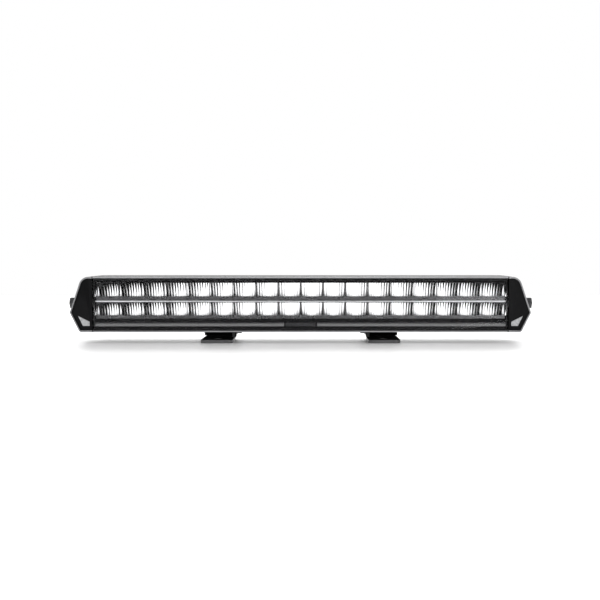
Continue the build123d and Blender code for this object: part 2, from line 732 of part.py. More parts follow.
def tilt_bolt():
    """M8 hexagon bolt through the foot's ear into the carriage."""
    head = EAR_X - EAR_GAP - WASHER
    bolt = hex_x(M8_HEAD_ACROSS, (head - M8_HEAD, head), PIVOT_Y, PIVOT_Z)
    return bolt + rod_x(M8_RADIUS, (head, CARRIAGE_X[0] + TILT_BOLT_REACH), PIVOT_Y, PIVOT_Z)


def tilt_washer():
    """Washer between the tilt bolt's head and the ear."""
    end = EAR_X - EAR_GAP
    ring = rod_x(WASHER_RADIUS, (end - WASHER, end), PIVOT_Y, PIVOT_Z)
    hole = (end - WASHER - PAST, end + PAST)
    return ring - rod_x(M8_RADIUS + 2 * CLOSE, hole, PIVOT_Y, PIVOT_Z)


def foot():
    """Right-hand foot: a steel plate bent up at its inner side into a round-topped ear."""
    x = (EAR_X, EAR_X + FOOT_WIDTH)
    plate = block(x, FOOT_Y, (0, FOOT_PLATE))
    front = plate.edges().filter_by(Axis.Z).sort_by(Axis.Y)[:2]
    plate = fillet(front, FOOT_CORNER)
    ear_y = (PIVOT_Y - EAR_RADIUS, FOOT_Y[1])
    ear = rectangle((PIVOT_Y - EAR_RADIUS, PIVOT_Y + EAR_RADIUS), (BEND_RADIUS, PIVOT_Z))
    ear += rectangle(ear_y, (0, BEND_RADIUS + PAST))
    ear += Pos(PIVOT_Y, PIVOT_Z) * Circle(EAR_RADIUS)
    body = plate + along_x(ear, (EAR_X, EAR_X + FOOT_PLATE))
    bend_axis = (EAR_X + BEND_RADIUS, BEND_RADIUS)
    corner = rectangle((EAR_X - PAST, bend_axis[0]), (-PAST, bend_axis[1]))
    corner -= Pos(*bend_axis) * Circle(BEND_RADIUS)
    through = (-PAST, FOOT_PLATE + PAST)
    body -= along_y(corner, (ear_y[0], ear_y[1] + PAST))
    relief = (ear_y[0] - RELIEF, ear_y[0])
    body -= block((EAR_X - PAST, EAR_X + BEND_RADIUS + PAST), relief, through)
    bore = (EAR_X - PAST, EAR_X + FOOT_PLATE + PAST)
    body -= rod_x(M8_RADIUS + PIVOT_CLEARANCE, bore, PIVOT_Y, PIVOT_Z)
    body -= rod_z(FOOT_HOLE, FOOT_X, FOOT_HOLE_Y, through)
    return body


os.makedirs("parts", exist_ok=True)

save("housing_extrusion", housing_extrusion())
save_pair("end_cap", end_cap())
save_pair("end_gasket", end_gasket())
save("end_cap_screws", *end_cap_screws())
save("front_lens", front_lens())
save("lens_seal", lens_seal())
save("front_bezel", front_bezel())
save("badge_plate", badge_plate())
save_pair("light_guide", light_guide())
save("position_led_board", position_led_board())
save("position_leds", *position_leds())
save_pair("corner_light", corner_light())
save("corner_led_boards", corner_led_board(), mirrored(corner_led_board()))
save("tray_screws", *tray_screws())
save("thermal_pads", *[thermal_pad(row) for row in ROWS.values()])
for name, row in ROWS.items():
    save(f"led_tray_{name}", led_tray(row))
    save(f"led_board_{name}", led_board(row))
    save(f"leds_{name}", *leds(row))
    save_reflectors(name, row)
save("driver_board", driver_board())
save("driver_standoffs", *driver_standoffs())
save("driver_inductors", *driver_inductors())
save("driver_capacitors", *driver_capacitors())
save("cable_gland_body", cable_gland_body())
save("cable_gland_seal", cable_gland_seal())
save("cable_gland_nut", cable_gland_nut())
save("vent_plug", vent_plug())
save("side_bolts", *side_bolts())
save("side_washers", *side_washers())
save_pair("carriage", carriage())
save_pair("slot_nuts", *slot_nuts())
save_pair("carriage_screws", *carriage_screws())
save_pair("tilt_bolt", tilt_bolt())
save_pair("tilt_washer", tilt_washer())
save_pair("foot", foot())
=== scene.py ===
import math

import bmesh
import bpy
from mathutils import Matrix, Vector


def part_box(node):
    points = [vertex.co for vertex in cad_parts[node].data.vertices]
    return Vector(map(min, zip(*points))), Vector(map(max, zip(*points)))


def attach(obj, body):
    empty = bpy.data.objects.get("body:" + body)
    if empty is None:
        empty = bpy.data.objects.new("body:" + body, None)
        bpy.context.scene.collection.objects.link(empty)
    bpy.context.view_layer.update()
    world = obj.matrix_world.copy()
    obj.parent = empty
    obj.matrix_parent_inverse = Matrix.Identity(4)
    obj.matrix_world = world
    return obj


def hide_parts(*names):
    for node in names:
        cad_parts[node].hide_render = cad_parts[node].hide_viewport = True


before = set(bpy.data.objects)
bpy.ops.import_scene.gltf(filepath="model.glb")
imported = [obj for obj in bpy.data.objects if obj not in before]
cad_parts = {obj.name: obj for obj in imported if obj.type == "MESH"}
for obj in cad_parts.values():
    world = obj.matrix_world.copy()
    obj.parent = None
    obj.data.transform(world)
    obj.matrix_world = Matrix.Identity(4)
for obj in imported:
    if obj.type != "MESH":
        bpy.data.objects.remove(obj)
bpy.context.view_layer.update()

# ---------------------------------------------------------------------------------------------
# Studio: a white sheet on the ground in a white surround that is dim on the camera's side, so
# that black faces stay black. A long lamp behind and above throws the bar's shadow forward.
# ---------------------------------------------------------------------------------------------
CAMERA_PLACE = Vector((0.0151, -1.0375, 0.1066))
CAMERA_TARGET = Vector((0.0151, -0.0375, 0.0523))
CAMERA_LENS = 50.15
CAMERA_SHIFT = -0.021667
SHEET_HALF = 1.25
SHEET_MIDDLE_Y = -0.15
FRONT_LIGHT = 0.10
REAR_LIGHT = 1.05

camera = bpy.data.objects.new("camera", bpy.data.cameras.new("camera"))
camera.data.lens = CAMERA_LENS
camera.data.shift_x = CAMERA_SHIFT
camera.data.clip_end = 50.0
camera.location = CAMERA_PLACE
camera.rotation_euler = (CAMERA_TARGET - CAMERA_PLACE).to_track_quat("-Z", "Y").to_euler()
bpy.context.scene.collection.objects.link(camera)
bpy.context.scene.camera = camera
bpy.context.scene.view_settings.view_transform = "Standard"


def shader_node(tree, kind, **inputs):
    """Adds a shader node and sets its unlinked inputs by name."""
    node = tree.nodes.new(kind)
    for name, value in inputs.items():
        node.inputs[name.replace("_", " ")].default_value = value
    return node


def surround():
    """Lights the bar from behind and above, and shows the camera plain white."""
    world = bpy.data.worlds.new("surround")
    bpy.context.scene.world = world
    world.use_nodes = True
    tree = world.node_tree
    tree.nodes.clear()
    place = shader_node(tree, "ShaderNodeTexCoord")
    split = shader_node(tree, "ShaderNodeSeparateXYZ")
    ramp = shader_node(tree, "ShaderNodeMapRange", From_Min=-0.75, From_Max=0.35)
    ramp.inputs["To Min"].default_value = FRONT_LIGHT
    ramp.inputs["To Max"].default_value = REAR_LIGHT
    light = shader_node(tree, "ShaderNodeBackground", Color=(1, 1, 1, 1))
    seen = shader_node(tree, "ShaderNodeBackground", Color=(1, 1, 1, 1))
    path = shader_node(tree, "ShaderNodeLightPath")
    mix = shader_node(tree, "ShaderNodeMixShader")
    out = shader_node(tree, "ShaderNodeOutputWorld")
    tree.links.new(place.outputs["Generated"], split.inputs[0])
    tree.links.new(split.outputs["Y"], ramp.inputs["Value"])
    tree.links.new(ramp.outputs[0], light.inputs["Strength"])
    tree.links.new(path.outputs["Is Camera Ray"], mix.inputs[0])
    tree.links.new(light.outputs[0], mix.inputs[1])
    tree.links.new(seen.outputs[0], mix.inputs[2])
    tree.links.new(mix.outputs[0], out.inputs["Surface"])


def lamp(name, place, target, size, power, mirrored=True):
    """A soft rectangular lamp, which shiny surfaces mirror or not."""
    data = bpy.data.lights.new(name, "AREA")
    data.shape = "RECTANGLE"
    data.size, data.size_y = size
    data.energy = power
    lit = bpy.data.objects.new(name, data)
    lit.location = place
    lit.visible_glossy = mirrored
    lit.rotation_euler = (Vector(target) - Vector(place)).to_track_quat("-Z", "Y").to_euler()
    bpy.context.scene.collection.objects.link(lit)


def placed(name, mesh):
    """A new object at the origin, with its place in its mesh."""
    piece = bpy.data.objects.new(name, mesh)
    bpy.context.scene.collection.objects.link(piece)
    return piece


def sheet():
    """The white sheet, with a soft gloss that grows towards the horizon."""
    half, near, far = SHEET_HALF, SHEET_MIDDLE_Y - SHEET_HALF, SHEET_MIDDLE_Y + SHEET_HALF
    corners = [(-half, near, 0), (half, near, 0), (half, far, 0), (-half, far, 0)]
    mesh = bpy.data.meshes.new("sheet")
    mesh.from_pydata(corners, [], [(0, 1, 2, 3)])
    piece = placed("sheet", mesh)
    paper = bpy.data.materials.new("sheet_white")
    paper.use_nodes = True
    tree = paper.node_tree
    tree.nodes.clear()
    matt = shader_node(tree, "ShaderNodeBsdfDiffuse", Color=(0.95, 0.95, 0.95, 1))
    gloss = shader_node(tree, "ShaderNodeBsdfGlossy", Color=(1, 1, 1, 1), Roughness=0.4)
    grazing = shader_node(tree, "ShaderNodeFresnel", IOR=1.4)
    mix = shader_node(tree, "ShaderNodeMixShader")
    out = shader_node(tree, "ShaderNodeOutputMaterial")
    tree.links.new(grazing.outputs[0], mix.inputs[0])
    tree.links.new(matt.outputs[0], mix.inputs[1])
    tree.links.new(gloss.outputs[0], mix.inputs[2])
    tree.links.new(mix.outputs[0], out.inputs["Surface"])
    mesh.materials.append(paper)


surround()
lamp("back_lamp", place=(0, 1.3, 1.2), target=(0, 0, 0), size=(3.0, 1.0), power=22.0)
lamp("top_lamp", place=(0.15, -0.05, 1.3), target=(0, 0, 0.05), size=(2.4, 0.4), power=9.0)
lamp("right_lamp", place=(0.65, -1.25, 0.25), target=(0.15, 0, 0.04), size=(0.4, 0.3), power=1.6)
lamp(
    "fill_lamp", place=(0, -1.6, 0.5), target=(0, -0.1, 0), size=(2.6, 0.7), power=28.0,
    mirrored=False,
)
sheet()


# ---------------------------------------------------------------------------------------------
# Housing: an extruded aluminium section with a comb of cooling fins and a slotted rail behind,
# milled flat round the gland and the vent. It is powder coated in satin black, and a painted
# highlight, a much lighter grey coat, runs along the rounded outline of its front.
# ---------------------------------------------------------------------------------------------
COAT_BLACK = (0.0018, 0.0018, 0.002)
COAT_GREY = (0.0034, 0.0034, 0.0037)
# Colours of the painted highlight along the rounded front outlines.
RIM_HIGHLIGHT_DARK = (0.12, 0.12, 0.124)
RIM_HIGHLIGHT_LIGHT = (0.20, 0.20, 0.206)
HOUSING_ROUND = 0.0006
LIP_ROUND = 0.0018
HOUSING_INSIDE = (0, 0, 0.047)
WELD = 1e-6
FRONT_REACH = 1e-5
UPRIGHT = 1e-7


def merged_copy(node, name):
    """A new object with a node's own shape, its loose triangles joined into flat faces."""
    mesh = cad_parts[node].data.copy()
    mesh.name = name
    mesh.materials.clear()
    shape = bmesh.new()
    shape.from_mesh(mesh)
    bmesh.ops.remove_doubles(shape, verts=shape.verts, dist=WELD)
    bmesh.ops.dissolve_limit(
        shape, angle_limit=math.radians(0.5), verts=shape.verts, edges=shape.edges, delimit=set()
    )
    shape.to_mesh(mesh)
    shape.free()
    return placed(name, mesh)


def frozen(piece):
    """Turns a piece's modifiers into its plain mesh."""
    graph = bpy.context.evaluated_depsgraph_get()
    graph.update()
    mesh = bpy.data.meshes.new_from_object(piece.evaluated_get(graph))
    piece.modifiers.clear()
    piece.data = mesh
    return piece


def opened(piece):
    """A piece's mesh, ready to be worked on."""
    shape = bmesh.new()
    shape.from_mesh(piece.data)
    return shape


def closed(piece, shape):
    """Puts the worked mesh back into the piece, with room for two materials."""
    shape.to_mesh(piece.data)
    shape.free()
    for _ in range(2):
        piece.data.materials.append(None)
    return piece


def rimmed(piece, inside, width):
    """Rounds the outline of a piece's front and gives the rounding the second material, a painted
    highlight.
    """
    shape = opened(piece)
    front = min(v.co.y for v in shape.verts)
    rim = []
    for edge in shape.edges:
        first, second = (v.co for v in edge.verts)
        if max(first.y, second.y) > front + FRONT_REACH or abs(first.x - second.x) < UPRIGHT:
            continue
        side = max(edge.link_faces, key=lambda face: face.normal.y)
        if side.normal.dot((first + second) / 2 - Vector(inside)) > 0:
            rim.append(edge)
    made = bmesh.ops.bevel(shape, geom=rim, offset=width, segments=4, profile=0.5, affect="EDGES")
    for face in made["faces"]:
        face.material_index = 1
    return closed(piece, shape)


def rounded(piece, width, steps=2, angle=30.0):
    """Rounds a piece's sharp edges as casting, moulding or coating leaves them."""
    piece.data.shade_smooth()
    bevel = piece.modifiers.new("rounding", "BEVEL")
    bevel.width = width
    bevel.segments = steps
    bevel.limit_method = "ANGLE"
    bevel.angle_limit = math.radians(angle)
    bevel.harden_normals = True
    return frozen(piece)


def new_material(name):
    """An empty material: its tree, its Principled shader and its object coordinates."""
    material = bpy.data.materials.new(name)
    material.use_nodes = True
    tree = material.node_tree
    place = shader_node(tree, "ShaderNodeTexCoord")
    return material, tree, tree.nodes["Principled BSDF"], place.outputs["Object"]


def grain(tree, place, scale, detail=4.0, stretch=(1, 1, 1)):
    """Noise on object coordinates, stretched where the finish has a direction."""
    mapping = shader_node(tree, "ShaderNodeMapping", Scale=stretch)
    noise = shader_node(tree, "ShaderNodeTexNoise", Scale=scale, Detail=detail)
    tree.links.new(place, mapping.inputs[0])
    tree.links.new(mapping.outputs[0], noise.inputs["Vector"])
    return noise.outputs["Fac"]


def between(tree, factor, low, high):
    """A number that runs from low to high as the noise rises."""
    span = shader_node(tree, "ShaderNodeMapRange", From_Min=0.3, From_Max=0.7)
    span.inputs["To Min"].default_value = low
    span.inputs["To Max"].default_value = high
    tree.links.new(factor, span.inputs["Value"])
    return span.outputs[0]


def blended(tree, factor, first, second):
    """A colour between two, by the noise."""
    mix = tree.nodes.new("ShaderNodeMix")
    mix.data_type = "RGBA"
    mix.inputs[6].default_value = (*first, 1)
    mix.inputs[7].default_value = (*second, 1)
    tree.links.new(between(tree, factor, 0.0, 1.0), mix.inputs[0])
    return mix.outputs[2]


def bumped(tree, shader, height, strength, distance):
    """Fine relief under the light."""
    bump = shader_node(tree, "ShaderNodeBump", Strength=strength, Distance=distance)
    tree.links.new(height, bump.inputs["Height"])
    tree.links.new(bump.outputs[0], shader.inputs["Normal"])


def painted_edge_highlight(tree, colour, highlight_colour, amount=0.6):
    """Paints a highlight on the outermost edges, lightening their colour by pointiness."""
    near = shader_node(tree, "ShaderNodeNewGeometry")
    edge = shader_node(tree, "ShaderNodeMapRange", From_Min=0.52, From_Max=0.62)
    edge.inputs["To Max"].default_value = amount
    mix = tree.nodes.new("ShaderNodeMix")
    mix.data_type = "RGBA"
    mix.inputs[7].default_value = (*highlight_colour, 1)
    tree.links.new(near.outputs["Pointiness"], edge.inputs["Value"])
    tree.links.new(edge.outputs[0], mix.inputs[0])
    tree.links.new(colour, mix.inputs[6])
    return mix.outputs[2]


def coated(name, first, second, rough, pebble=1500.0, relief=0.35, shine=0.35):
    """Powder coat: cloudy black with a fine pebbled skin, a little shinier where it ran thick, and a
    painted highlight on its outermost edges.
    """
    material, tree, shader, place = new_material(name)
    cloud = grain(tree, place, 38.0, 3.0)
    skin = grain(tree, place, pebble, 2.0)
    colour = blended(tree, cloud, first, second)
    # Painted highlight: the outermost edges get a much lighter colour by pointiness.
    highlight_colour = tuple(2.2 * part for part in second)
    tree.links.new(painted_edge_highlight(tree, colour, highlight_colour), shader.inputs["Base Color"])
    tree.links.new(between(tree, cloud, rough - 0.05, rough + 0.06), shader.inputs["Roughness"])
    bumped(tree, shader, skin, relief, 0.00012)
    shader.inputs["Specular IOR Level"].default_value = shine
    return material


def fit(piece, material, node, body="bar", second=None):
    """Gives a piece its materials and its body, and hides the CAD node that it stands for."""
    slots = piece.data.materials
    for i, each in enumerate([material, second] if second else [material]):
        if i < len(slots):
            slots[i] = each
        else:
            slots.append(each)
    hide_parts(node)
    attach(piece, body)


def finish(material, *nodes):
    """Gives CAD nodes whose shape is right their material."""
    for node in nodes:
        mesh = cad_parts[node].data
        mesh.materials.clear()
        mesh.materials.append(material)


# Painted highlight: the rounded front outline gets a much lighter grey coat.
rim_highlight_coat = coated("rim_highlight_coat", RIM_HIGHLIGHT_DARK, RIM_HIGHLIGHT_LIGHT, rough=0.34, shine=0.5)
housing_coat = coated("housing_coat", COAT_BLACK, COAT_GREY, rough=0.42, shine=0.16)
housing = rimmed(merged_copy("housing_extrusion", "housing"), HOUSING_INSIDE, LIP_ROUND)
housing = rounded(housing, HOUSING_ROUND)
fit(housing, housing_coat, "housing_extrusion", second=rim_highlight_coat)


# ---------------------------------------------------------------------------------------------
# LED trays: bare milled aluminium angles that carry the boards. The upper one's front edge shows
# as the bright line between the rows. Their legs lie on soft grey pads that pass the heat on.
# ---------------------------------------------------------------------------------------------
TRAY_BRIGHT = (0.86, 0.865, 0.87)
TRAY_DULL = (0.72, 0.725, 0.735)
TRAY_ROUND = 0.0002
PAD_GREY = ((0.34, 0.36, 0.39), (0.44, 0.46, 0.49))


def milled(name, first, second, rough, stretch, relief=0.15):
    """Bare metal with cutter marks that run along the squeezed axis."""
    material, tree, shader, place = new_material(name)
    lines = grain(tree, place, 900.0, 3.0, stretch)
    patches = grain(tree, place, 60.0, 2.0)
    tree.links.new(blended(tree, patches, first, second), shader.inputs["Base Color"])
    tree.links.new(between(tree, lines, rough - 0.06, rough + 0.08), shader.inputs["Roughness"])
    bumped(tree, shader, lines, relief, 0.00005)
    shader.inputs["Metallic"].default_value = 1.0
    return material


def rubbery(name, first, second, rough=0.72, fleck=700.0):
    """Soft rubber with a dry, finely speckled skin."""
    material, tree, shader, place = new_material(name)
    speck = grain(tree, place, fleck, 5.0)
    tree.links.new(blended(tree, speck, first, second), shader.inputs["Base Color"])
    tree.links.new(between(tree, speck, rough - 0.08, rough + 0.1), shader.inputs["Roughness"])
    bumped(tree, shader, speck, 0.3, 0.0001)
    shader.inputs["Specular IOR Level"].default_value = 0.25
    return material


tray_metal = milled("tray_metal", TRAY_BRIGHT, TRAY_DULL, rough=0.34, stretch=(0.02, 1, 1))
for row in ("upper", "lower"):
    tray = rounded(merged_copy(f"led_tray_{row}", f"tray_{row}"), TRAY_ROUND)
    fit(tray, tray_metal, f"led_tray_{row}")
finish(rubbery("gap_pad", *PAD_GREY), "thermal_pads")


# ---------------------------------------------------------------------------------------------
# LED boards: metal-core boards with a glossy black mask, through which thin copper tracks show
# as raised lines. They lie on the trays, and narrow ones stand behind the position lights.
# ---------------------------------------------------------------------------------------------
MASK_BLACK = (0.012, 0.012, 0.013)
MASK_OVER_TRACK = (0.032, 0.032, 0.034)


def circuit(name, mask, over_track, pitch):
    """Solder mask over a net of tracks."""
    material, tree, shader, place = new_material(name)
    tracks = shader_node(tree, "ShaderNodeTexBrick", Scale=pitch, Mortar_Size=0.012)
    tracks.inputs["Color1"].default_value = (*mask, 1)
    tracks.inputs["Color2"].default_value = (*[1.2 * part for part in mask], 1)
    tracks.inputs["Mortar"].default_value = (*over_track, 1)
    mist = grain(tree, place, 300.0, 3.0)
    tree.links.new(place, tracks.inputs["Vector"])
    tree.links.new(tracks.outputs["Color"], shader.inputs["Base Color"])
    tree.links.new(between(tree, mist, 0.24, 0.4), shader.inputs["Roughness"])
    bumped(tree, shader, tracks.outputs["Fac"], 0.3, 0.00004)
    return material


black_board = circuit("black_board", MASK_BLACK, MASK_OVER_TRACK, 160.0)
finish(black_board, "led_board_upper", "led_board_lower", "position_led_board", "corner_led_boards")


# ---------------------------------------------------------------------------------------------
# LEDs: a white ceramic square with a clear dome, soldered on the board in every mirror cell and
# glowing softly. The small ones behind the position lights are of the same kind, and off.
# ---------------------------------------------------------------------------------------------
LED_GLOW = 1.3
BASE_GLOW = 0.12
DIE_RADIUS = (0.0019, 0.0025)
LED_COUNT = 18
LED_BASE = 0.0008
LED_DOME = 0.0022
DOME_RINGS = 7
DOME_SIDES = 28
CLIPPED = 0.12
POSITION_COUNT = 12
POSITION_PITCH = 0.019
POSITION_BASE = 0.0005
POSITION_DOME = (0.0011, 0.0003)


def row_nodes():
    """Geometry nodes that set copies of a master piece along a line, each turned a little."""
    tree = bpy.data.node_groups.new("row_of_copies", "GeometryNodeTree")
    tree.interface.new_socket("Geometry", in_out="OUTPUT", socket_type="NodeSocketGeometry")
    for label, kind in (
        ("Master", "Object"), ("Count", "Int"), ("Start", "Vector"), ("Step", "Vector"),
        ("Rows", "Int"), ("Row Step", "Vector"), ("Turn", "Vector"), ("Seed", "Int"),
        ("Material", "Material"),
    ):
        tree.interface.new_socket(label, in_out="INPUT", socket_type=f"NodeSocket{kind}")
    given = tree.nodes.new("NodeGroupInput").outputs
    along = tree.nodes.new("GeometryNodeMeshLine")
    across = tree.nodes.new("GeometryNodeMeshLine")
    grid = tree.nodes.new("GeometryNodeInstanceOnPoints")
    spots = tree.nodes.new("GeometryNodeRealizeInstances")
    master = tree.nodes.new("GeometryNodeObjectInfo")
    turn = tree.nodes.new("FunctionNodeRandomValue")
    turn.data_type = "FLOAT_VECTOR"
    back = tree.nodes.new("ShaderNodeVectorMath")
    back.operation = "SCALE"
    back.inputs["Scale"].default_value = -1.0
    put = tree.nodes.new("GeometryNodeInstanceOnPoints")
    solid = tree.nodes.new("GeometryNodeRealizeInstances")
    paint = tree.nodes.new("GeometryNodeSetMaterial")
    out = tree.nodes.new("NodeGroupOutput")
    for source, target in (
        (given["Count"], along.inputs["Count"]), (given["Start"], along.inputs["Start Location"]),
        (given["Step"], along.inputs["Offset"]), (given["Rows"], across.inputs["Count"]),
        (given["Row Step"], across.inputs["Offset"]), (across.outputs[0], grid.inputs["Points"]),
        (along.outputs[0], grid.inputs["Instance"]), (grid.outputs[0], spots.inputs["Geometry"]),
        (given["Master"], master.inputs["Object"]), (given["Turn"], turn.inputs["Max"]),
        (given["Turn"], back.inputs[0]), (back.outputs[0], turn.inputs["Min"]),
        (given["Seed"], turn.inputs["Seed"]), (spots.outputs[0], put.inputs["Points"]),
        (master.outputs["Geometry"], put.inputs["Instance"]),
        (turn.outputs["Value"], put.inputs["Rotation"]), (put.outputs[0], solid.inputs["Geometry"]),
        (solid.outputs[0], paint.inputs["Geometry"]), (given["Material"], paint.inputs["Material"]),
        (paint.outputs[0], out.inputs[0]),
    ):
        tree.links.new(source, target)
    return tree


ROW_NODES = row_nodes()


def row_of(name, master, node, material, body="bar", **values):
    """Copies of a master in even rows, in place of a CAD node."""
    piece = placed(name, bpy.data.meshes.new(name))
    rows = piece.modifiers.new("rows", "NODES")
    rows.node_group = ROW_NODES
    given = {"Rows": 1, "Row Step": (0, 0, 0), "Turn": (0, 0, 0), "Seed": 1, "Master": master}
    given.update(values)
    given["Material"] = material
    for socket in ROW_NODES.interface.items_tree:
        if socket.in_out == "INPUT":
            rows[socket.identifier] = given[socket.name]
    fit(frozen(piece), material, node, body)


def as_master(name, shape):
    """Ends a master piece: outward faces, smooth where it is round."""
    bmesh.ops.recalc_face_normals(shape, faces=shape.faces)
    mesh = bpy.data.meshes.new(name)
    shape.to_mesh(mesh)
    shape.free()
    mesh.shade_smooth()
    mesh.set_sharp_from_angle(angle=math.radians(35))
    return bpy.data.objects.new(name, mesh)


def emitter(name, half, base, dome):
    """A square ceramic base with clipped corners, and a dome of clear silicone on it."""
    shape = bmesh.new()
    short = (1 - CLIPPED) * half
    outline = []
    for x, y in ((1, -1), (1, 1), (-1, 1), (-1, -1)):
        outline += [(x * half, y * short), (x * short, y * half)]
    outline.sort(key=lambda spot: math.atan2(spot[1], spot[0]))
    low = [shape.verts.new((x, y, 0)) for x, y in outline]
    high = [shape.verts.new((x, y, base)) for x, y in outline]
    shape.faces.new(low[::-1])
    shape.faces.new(high)
    for i in range(len(low)):
        j = (i + 1) % len(low)
        shape.faces.new([low[i], low[j], high[j], high[i]])
    radius, tall = dome
    rings = []
    for i in range(DOME_RINGS):
        turn = math.pi / 2 * i / DOME_RINGS
        spots = [2 * math.pi * j / DOME_SIDES for j in range(DOME_SIDES)]
        wide, up = radius * math.cos(turn), base + tall * math.sin(turn)
        rings.append([shape.verts.new((wide * math.cos(a), wide * math.sin(a), up)) for a in spots])
    for first, second in zip(rings, rings[1:]):
        for j in range(DOME_SIDES):
            k = (j + 1) % DOME_SIDES
            shape.faces.new([first[j], first[k], second[k], second[j]])
    shape.faces.new(rings[-1])
    shape.faces.new(rings[0][::-1])
    return as_master(name, shape)


def die_glow(tree, place, spot, pitch, glow):
    """Light from the die in the middle of each emitter, fading over the white base round it."""
    split = shader_node(tree, "ShaderNodeSeparateXYZ")
    along = shader_node(tree, "ShaderNodeMath")
    along.operation = "WRAP"
    along.inputs[1].default_value = spot[0] + pitch / 2
    along.inputs[2].default_value = spot[0] - pitch / 2
    join = shader_node(tree, "ShaderNodeCombineXYZ")
    away = shader_node(tree, "ShaderNodeVectorMath")
    away.operation = "DISTANCE"
    away.inputs[1].default_value = (spot[0], spot[1], 0)
    fade = shader_node(tree, "ShaderNodeMapRange", From_Min=DIE_RADIUS[0], From_Max=DIE_RADIUS[1])
    fade.inputs["To Min"].default_value = glow
    fade.inputs["To Max"].default_value = BASE_GLOW
    tree.links.new(place, split.inputs[0])
    tree.links.new(split.outputs["X"], along.inputs[0])
    tree.links.new(along.outputs[0], join.inputs["X"])
    tree.links.new(split.outputs["Y"], join.inputs["Y"])
    tree.links.new(join.outputs[0], away.inputs[0])
    tree.links.new(away.outputs["Value"], fade.inputs["Value"])
    return fade.outputs[0]


def phosphor(name, glow, spot=None, pitch=None):
    """Phosphor under a clear dome, a little uneven."""
    material, tree, shader, place = new_material(name)
    mottle = grain(tree, place, 2500.0, 2.0)
    colour = blended(tree, mottle, (0.93, 0.93, 0.92), (1.0, 1.0, 1.0))
    tree.links.new(colour, shader.inputs["Base Color"])
    tree.links.new(colour, shader.inputs["Emission Color"])
    tree.links.new(between(tree, mottle, 0.2, 0.35), shader.inputs["Roughness"])
    shader.inputs["Emission Strength"].default_value = glow
    if spot:
        tree.links.new(die_glow(tree, place, spot, pitch, glow), shader.inputs["Emission Strength"])
    return material


for row in ("upper", "lower"):
    low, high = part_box(f"leds_{row}")
    half = (high[1] - low[1]) / 2
    led = emitter(f"led_master_{row}", half, LED_BASE, (LED_DOME, high[2] - low[2] - LED_BASE))
    pitch = (high[0] - low[0] - 2 * half) / (LED_COUNT - 1)
    lit = phosphor(f"lit_phosphor_{row}", LED_GLOW, (low[0] + half, (low[1] + high[1]) / 2), pitch)
    row_of(
        f"led_row_{row}", led, f"leds_{row}", lit, Count=LED_COUNT,
        Start=(low[0] + half, (low[1] + high[1]) / 2, low[2]), Step=(pitch, 0, 0),
    )

low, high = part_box("position_leds")
half = (high[2] - low[2]) / 2
small = emitter("led_master_position", half, POSITION_BASE, POSITION_DOME)
small.data.transform(Matrix.Rotation(math.pi / 2, 4, "X"))
second_row = high[0] - low[0] - 2 * half - (POSITION_COUNT - 1) * POSITION_PITCH
row_of(
    "position_led_rows", small, "position_leds", phosphor("resting_phosphor", 0.0),
    Count=POSITION_COUNT, Start=(low[0] + half, high[1], (low[2] + high[2]) / 2),
    Step=(POSITION_PITCH, 0, 0), Rows=2, **{"Row Step": (second_row, 0, 0)},
)


# ---------------------------------------------------------------------------------------------
# Reflectors: six thin mouldings a row, each of three half-bowls, vacuum metallised. A bowl is half
# of a paraboloid that is broken into upright flutes, between flat walls, over a satin front sill.
# ---------------------------------------------------------------------------------------------
MODULES = 6
CELLS = 3
CELL_WALL = 0.0008
SHELL = 0.001
FLUTES = 8
STEPS_PER_FLUTE = 6
STEPS_UP = 24
FLUTE_DEPTH = 0.0001
FLUTE_WANDER = 0.10
BOWL = {
    "upper": {"radius": 0.0266, "rim": 0.0204, "sill": 0.0042},
    "lower": {"radius": 0.0254, "rim": 0.0190, "sill": 0.0036},
}
SILL_BACK = 0.0022
SILL_WAVE = 0.00022
SILL_RISE = 0.0005
STEPS_PER_WAVE = 4
CELL_PITCH = (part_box("reflector_upper_2")[0][0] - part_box("reflector_upper_1")[0][0]) / CELLS


def skin(shape, grid, flip=False):
    """Faces between neighbouring rows of vertices."""
    for low, high in zip(grid, grid[1:]):
        for i in range(len(low) - 1):
            ring = [low[i], low[i + 1], high[i + 1], high[i]]
            shape.faces.new(ring[::-1] if flip else ring)


def flute_edge(i, half):
    """Where flute joint i stands across a cell: the flutes differ a little in width."""
    even = -half + 2 * half * i / FLUTES
    wander = FLUTE_WANDER * math.sin(2.4 * i) * half / FLUTES
    return even + (wander if 0 < i < FLUTES else 0)


def bowl_columns(half):
    """Places across a cell, each with how far the flute bulges there."""
    columns = []
    for i in range(FLUTES):
        left, right = flute_edge(i, half), flute_edge(i + 1, half)
        for j in range(STEPS_PER_FLUTE):
            part = j / STEPS_PER_FLUTE
            columns.append((left + (right - left) * part, 4 * FLUTE_DEPTH * part * (1 - part)))
    return columns + [(half, 0.0)]


def bowl_cell(shape, middle, base, bowl, front, vertex):
    """A cell's mirror: fluted back from the board up to the rim, then a ceiling and two walls."""
    half = (CELL_PITCH - CELL_WALL) / 2
    curve = bowl["radius"] ** 2 / (vertex - front)
    grid = []
    for j in range(STEPS_UP + 1):
        up = bowl["rim"] * j / STEPS_UP
        line = []
        for across, bulge in bowl_columns(half):
            depth = vertex - (across * across + up * up) / curve - bulge
            line.append(shape.verts.new((middle + across, depth, base + up)))
        grid.append(line)
    skin(shape, grid, flip=True)
    for column in range(0, len(grid[0]), STEPS_PER_FLUTE):
        for low, high in zip(grid, grid[1:]):
            shape.edges.get((low[column], high[column])).smooth = False
    top = [shape.verts.new((v.co.x, front, v.co.z)) for v in grid[-1]]
    ends = [
        [shape.verts.new((line[end].co.x, front, line[end].co.z)) for line in grid[:-1]] + [top[end]]
        for end in (0, -1)
    ]
    skin(shape, [grid[-1], top], flip=True)
    skin(shape, [[line[0] for line in grid], ends[0]])
    skin(shape, [[line[-1] for line in grid], ends[1]], flip=True)
    for line in (grid[-1], [row[0] for row in grid], [row[-1] for row in grid]):
        for first, second in zip(line, line[1:]):
            shape.edges.get((first, second)).smooth = False


